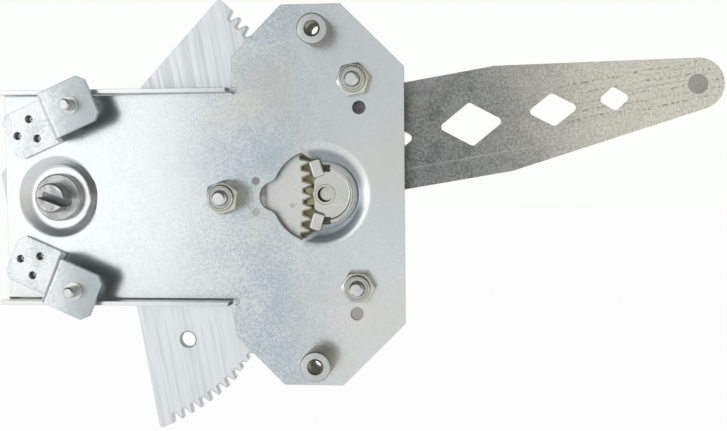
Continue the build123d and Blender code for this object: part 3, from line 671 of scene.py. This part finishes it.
class REGULATOR_OT_drive_studs(bpy.types.Operator):
    """Models the three drive studs with their threads"""
    bl_idname = "regulator.drive_studs"
    bl_label = "Add drive studs"

    def execute(self, context):
        sizes = context.scene.regulator_fasteners
        material = bright_metal("stud zinc", screen_colour(214, 217, 214), screen_colour(184, 190, 190), 0.22)
        for name in STUD_NAMES:
            node = f"{name}_drive_stud"
            low, high, middle = box_of(node)
            plate_back = box_of("upper_mount_boss")[1].y
            tip = low.y
            step = box_of(f"{name}_lock_nut")[0].y + STUD_STEP
            crest = sizes.stud_tip
            rod = threaded_rod(
                f"{name}_stud", middle, (crest - sizes.stud_depth, crest), sizes.stud_pitch,
                (tip - 1.0 * MM, step + 0.5 * MM))
            trim = ring_piece(
                "stud_trim", middle,
                [(crest - 0.75 * MM, tip), (crest - 0.1 * MM, tip + 0.55 * MM),
                 (crest + 0.1 * MM, tip + 0.9 * MM), (crest + 0.1 * MM, high.y)],
                closed=False)
            rod = combine(rod, trim, "INTERSECT")
            head_radius = (high.x - low.x) / 2
            body = sizes.stud_radius
            shank = ring_piece(
                "stud_shank", middle,
                [(body - 0.5 * MM, step), (body, step + 0.5 * MM), (body, plate_back),
                 (head_radius, plate_back), (head_radius, high.y - 0.5 * MM),
                 (head_radius - 0.5 * MM, high.y)],
                closed=False)
            stud = combine(rod, shank, "UNION")
            dress(stud, "base", "zinc_fastener", material, node)
        return {"FINISHED"}


class REGULATOR_OT_lock_nuts(bpy.types.Operator):
    """Models the three lock nuts with chamfered corners, rolled collars and nylon rings"""
    bl_idname = "regulator.lock_nuts"
    bl_label = "Add lock nuts"

    def execute(self, context):
        sizes = context.scene.regulator_fasteners
        colours = context.scene.regulator_colours
        # The nuts' side walls are painted olive, as painted shade and reflection.
        metal = bright_metal(
            "nut zinc", colours.fastener, screen_colour(196, 192, 168), 0.2,
            side=screen_colour(162, 157, 130))
        nylon = nylon_ring(colours)
        for name in STUD_NAMES:
            node = f"{name}_lock_nut"
            low, high, middle = box_of(node)
            place = Vector((middle.x, 0, middle.z))
            front, seat = low.y, high.y
            shoulder = front + COLLAR_HEIGHT
            corner = sizes.across_flats / 2 / math.cos(math.pi / 6)
            deselect()
            bpy.ops.mesh.primitive_cylinder_add(
                vertices=6, radius=corner, depth=seat - shoulder,
                location=(place.x, (seat + shoulder) / 2, place.z), rotation=(math.pi / 2, 0, 0))
            nut = start_piece(f"{name}_nut")
            bpy.ops.mesh.select_all(action="SELECT")
            bpy.ops.transform.rotate(
                value=math.radians(30 + NUT_TURNS[name]), orient_axis="Y",
                center_override=(place.x, seat, place.z))
            nut = settle(nut)
            cone = ring_piece(
                "corner_cone", place,
                [(corner - 1.3 * MM, shoulder), (corner + 0.05 * MM, shoulder + 0.8 * MM),
                 (corner + 0.05 * MM, seat - 0.5 * MM), (corner - 0.7 * MM, seat)],
                96, closed=False)
            nut = combine(nut, cone, "INTERSECT")
            rim, lip = COLLAR_RIM, COLLAR_LIP
            bore = sizes.stud_radius + 0.05 * MM
            hold = sizes.stud_tip + 0.25 * MM
            collar_points = [(rim, shoulder + 0.5 * MM), (rim, front + 0.85 * MM)]
            collar_points += arc((rim - 0.85 * MM, front + 0.85 * MM), 0.85 * MM, -15, -90, 5)
            collar_points += [(lip, front + 0.05 * MM), (lip, front + 1.4 * MM)]
            collar_points += [(bore - 1 * MM, front + 1.65 * MM), (bore - 1 * MM, shoulder + 0.5 * MM)]
            collar = ring_piece("nut_collar", place, collar_points, 64)
            hole = ring_piece(
                "nut_hole", place, [(bore, front + 1 * MM), (bore, seat + 1 * MM)], 64, closed=False)
            nut = combine(nut, collar, "UNION")
            nut = combine(nut, hole, "DIFFERENCE")
            dress(nut, "base", "zinc_fastener", metal, node)
            ring_points = [(lip - 0.01 * MM, front + 1.45 * MM), (lip - 0.01 * MM, front + 0.4 * MM)]
            ring_points += [(lip - 0.2 * MM, front + 0.25 * MM), (hold + 0.25 * MM, front + 0.2 * MM)]
            ring_points += [(hold, front + 0.45 * MM), (hold, front + 1.45 * MM)]
            ring = ring_piece(f"{name}_nut_insert", place, ring_points, 64)
            if name == STUD_NAMES[-1]:
                dress(ring, "base", "nylon_insert", nylon, "lock_nut_inserts")
            else:
                dress(ring, "base", "nylon_insert", nylon)
        return {"FINISHED"}


class REGULATOR_OT_mount_bosses(bpy.types.Operator):
    """Models the two mounting bosses with their inner threads"""
    bl_idname = "regulator.mount_bosses"
    bl_label = "Add mounting bosses"

    def execute(self, context):
        sizes = context.scene.regulator_fasteners
        # The bosses' side walls are painted dark brown-grey, as painted shade.
        metal = bright_metal(
            "boss zinc", screen_colour(196, 202, 200), screen_colour(184, 190, 187), 0.27,
            side=screen_colour(150, 144, 132))
        plate_front = box_of("upper_lock_nut")[1].y
        for side in ("upper", "lower"):
            node = f"{side}_mount_boss"
            low, high, middle = box_of(node)
            place = Vector((middle.x, 0, middle.z))
            radius = (high.x - low.x) / 2
            edge = 0.8 * MM
            points = arc((radius - edge, low.y + edge), edge, -90, 0, 5)
            points += [(radius, plate_front), (BOSS_SPIGOT, plate_front), (BOSS_SPIGOT, high.y)]
            boss = ring_piece(f"{side}_boss", place, points, 96, closed=False)
            tap = threaded_rod(
                "boss_tap", place, (sizes.boss_minor, sizes.boss_major), sizes.boss_pitch,
                (low.y - 1 * MM, high.y + 1 * MM), 40)
            boss = combine(boss, tap, "DIFFERENCE")
            mouth = ring_piece(
                "boss_mouth", place,
                [(4.5 * MM, low.y - 1 * MM), (3.5 * MM, low.y), (2.4 * MM, low.y + 1.1 * MM)],
                96, closed=False)
            boss = combine(boss, mouth, "DIFFERENCE")
            dress(boss, "base", "zinc_turned", metal, node)
        spacer = bright_metal("spacer zinc", screen_colour(190, 189, 176), screen_colour(172, 170, 154), 0.3)
        paint_node("centre_spacer", spacer)
        return {"FINISHED"}


class REGULATOR_OT_studio(bpy.types.Operator):
    """Adds the floor, the room light, the lamps and the camera"""
    bl_idname = "regulator.studio"
    bl_label = "Add studio"

    def execute(self, context):
        scene = context.scene
        settings = scene.regulator_studio
        low, high = CAD_BOX
        middle = (low + high) / 2
        deselect()
        bpy.ops.mesh.primitive_plane_add(size=8.0, location=(middle.x, 0, low.z - settings.floor_gap))
        floor = bpy.context.active_object
        floor.name = "studio_floor"
        bpy.ops.object.transform_apply(location=True, rotation=True, scale=True)
        floor.data.materials.append(self.floor_finish())
        self.room_light(scene, settings)
        target = Vector(settings.target)
        key_place = target + Vector((-0.57, -1.05, -0.06))
        side_place = target + Vector((-1.00, -0.80, -0.40))
        self.lamp("key softbox", settings.key_power, (0.40, 0.90), key_place, target)
        self.lamp("side softbox", settings.fill_power, (0.60, 1.2), side_place, target)
        self.camera(scene, settings)
        scene.view_settings.view_transform = "Standard"
        return {"FINISHED"}

    def floor_finish(self):
        """Pale matt floor that shows as the white room, with the shadow still on it."""
        material = bpy.data.materials.new("pale floor")
        material.use_nodes = True
        tree = material.node_tree
        tree.nodes.clear()
        matt = tree.nodes.new("ShaderNodeBsdfDiffuse")
        matt.inputs["Color"].default_value = (0.86, 0.86, 0.85, 1)
        white = tree.nodes.new("ShaderNodeEmission")
        white.inputs["Color"].default_value = (1, 1, 1, 1)
        path = tree.nodes.new("ShaderNodeLightPath")
        share = tree.nodes.new("ShaderNodeMath")
        share.operation = "MULTIPLY"
        share.inputs[1].default_value = 0.93
        seen = tree.nodes.new("ShaderNodeMath")
        seen.operation = "MAXIMUM"
        tree.links.new(path.outputs["Is Camera Ray"], seen.inputs[0])
        tree.links.new(path.outputs["Is Glossy Ray"], seen.inputs[1])
        tree.links.new(seen.outputs[0], share.inputs[0])
        mixed = tree.nodes.new("ShaderNodeMixShader")
        tree.links.new(share.outputs[0], mixed.inputs[0])
        tree.links.new(matt.outputs[0], mixed.inputs[1])
        tree.links.new(white.outputs[0], mixed.inputs[2])
        output = tree.nodes.new("ShaderNodeOutputMaterial")
        tree.links.new(mixed.outputs[0], output.inputs["Surface"])
        return material

    def room_light(self, scene, settings):
        """White room for the camera and for reflections of what lies behind the object. Elsewhere the
        room is lighter at the left and warmer at the right. In reflections it is darker at its sides
        and top, with some of that given back at the right."""
        world = bpy.data.worlds.new("white room")
        scene.world = world
        world.use_nodes = True
        tree = world.node_tree
        tree.nodes.clear()
        direction = tree.nodes.new("ShaderNodeTexCoord")
        parts = tree.nodes.new("ShaderNodeSeparateXYZ")
        tree.links.new(direction.outputs["Generated"], parts.inputs[0])

        def spread(source, start, end, low, high):
            made = tree.nodes.new("ShaderNodeMapRange")
            made.interpolation_type = "SMOOTHSTEP"
            tree.links.new(source, made.inputs["Value"])
            for name, value in (("From Min", start), ("From Max", end), ("To Min", low), ("To Max", high)):
                made.inputs[name].default_value = value
            return made.outputs[0]

        def combined(operation, a, b):
            made = tree.nodes.new("ShaderNodeMath")
            made.operation = operation
            tree.links.new(a, made.inputs[0])
            tree.links.new(b, made.inputs[1])
            return made.outputs[0]

        plain = tree.nodes.new("ShaderNodeBackground")
        level = spread(parts.outputs[0], 1.0, -1.0, settings.room * 0.8, settings.room * 1.2)
        path = tree.nodes.new("ShaderNodeLightPath")
        aside = spread(parts.outputs[1], -0.9, -0.5, 1.0, 0.2)
        overhead = spread(parts.outputs[2], 0.25, 0.7, 1.0, 0.35)
        dimmed = combined("MULTIPLY", aside, overhead)
        dimmed = combined("MULTIPLY", dimmed, spread(parts.outputs[0], 0.3, 0.8, 1.0, 2.2))
        even = tree.nodes.new("ShaderNodeMix")
        tree.links.new(path.outputs["Is Glossy Ray"], even.inputs[0])
        even.inputs[2].default_value = 1.0
        tree.links.new(dimmed, even.inputs[3])
        tree.links.new(combined("MULTIPLY", level, even.outputs[0]), plain.inputs["Strength"])
        warmth = tree.nodes.new("ShaderNodeMix")
        warmth.data_type = "RGBA"
        tree.links.new(spread(parts.outputs[0], 0.15, 0.7, 0.0, 1.0), warmth.inputs[0])
        warmth.inputs[6].default_value = (0.98, 0.99, 1.0, 1)
        warmth.inputs[7].default_value = (1.0, 0.93, 0.8, 1)
        tree.links.new(warmth.outputs[2], plain.inputs["Color"])
        white = tree.nodes.new("ShaderNodeBackground")
        white.inputs["Color"].default_value = screen_colour(252, 254, 251)
        white.inputs["Strength"].default_value = 1.0
        behind = spread(parts.outputs[1], 0.0, 0.2, 0.0, 1.0)
        mirrored = combined("MULTIPLY", path.outputs["Is Glossy Ray"], behind)
        seen = combined("MAXIMUM", path.outputs["Is Camera Ray"], path.outputs["Is Transmission Ray"])
        mixed = tree.nodes.new("ShaderNodeMixShader")
        tree.links.new(combined("MAXIMUM", seen, mirrored), mixed.inputs[0])
        tree.links.new(plain.outputs[0], mixed.inputs[1])
        tree.links.new(white.outputs[0], mixed.inputs[2])
        output = tree.nodes.new("ShaderNodeOutputWorld")
        tree.links.new(mixed.outputs[0], output.inputs["Surface"])

    def lamp(self, name, power, size, place, target):
        data = bpy.data.lights.new(name, "AREA")
        data.energy = power
        data.shape = "RECTANGLE"
        data.size, data.size_y = size
        lamp = bpy.data.objects.new(name, data)
        bpy.context.collection.objects.link(lamp)
        lamp.location = place
        lamp.rotation_euler = (target - place).to_track_quat("-Z", "Y").to_euler()

    def camera(self, scene, settings):
        a, e, r = settings.azimuth, settings.elevation, settings.roll
        back = Vector((math.sin(a) * math.cos(e), -math.cos(a) * math.cos(e), math.sin(e)))
        right = Vector((0, 0, 1)).cross(back).normalized()
        up = back.cross(right)
        rolled_right = right * math.cos(r) + up * math.sin(r)
        rolled_up = up * math.cos(r) - right * math.sin(r)
        data = bpy.data.cameras.new("studio camera")
        data.lens = settings.lens
        data.sensor_width = 36.0
        data.clip_start = 0.01
        data.clip_end = 20.0
        camera = bpy.data.objects.new("studio camera", data)
        bpy.context.collection.objects.link(camera)
        turn = Matrix((rolled_right, rolled_up, back)).transposed().to_4x4()
        camera.matrix_world = Matrix.Translation(Vector(settings.target) + back * settings.distance) @ turn
        scene.camera = camera


class REGULATOR_PT_panel(bpy.types.Panel):
    """Lists the steps that finish the regulator"""
    bl_idname = "REGULATOR_PT_panel"
    bl_label = "Window regulator"
    bl_space_type = "VIEW_3D"
    bl_region_type = "UI"
    bl_category = "Regulator"

    def draw(self, context):
        for settings in ("regulator_fasteners", "regulator_colours", "regulator_studio"):
            group = getattr(context.scene, settings)
            box = self.layout.box()
            for name in group.bl_rna.properties.keys():
                if name not in ("rna_type", "name"):
                    box.prop(group, name)
        for step in STEPS:
            self.layout.operator(step.bl_idname)


SETTINGS = {
    "regulator_fasteners": FastenerSizes,
    "regulator_colours": FinishColours,
    "regulator_studio": StudioSettings,
}
STEPS = (
    REGULATOR_OT_sheet_finish,
    REGULATOR_OT_arm_finish,
    REGULATOR_OT_pivot_finish,
    REGULATOR_OT_drive_studs,
    REGULATOR_OT_lock_nuts,
    REGULATOR_OT_mount_bosses,
    REGULATOR_OT_studio,
)


def register():
    for kind in (*SETTINGS.values(), *STEPS, REGULATOR_PT_panel):
        bpy.utils.register_class(kind)
    for name, group in SETTINGS.items():
        setattr(bpy.types.Scene, name, bpy.props.PointerProperty(type=group))


def unregister():
    for name in SETTINGS:
        delattr(bpy.types.Scene, name)
    for kind in (REGULATOR_PT_panel, *reversed(STEPS), *reversed(list(SETTINGS.values()))):
        bpy.utils.unregister_class(kind)


def main():
    register()
    for step in STEPS:
        group, name = step.bl_idname.split(".")
        getattr(getattr(bpy.ops, group), name)()


if __name__ == "__main__":
    main()
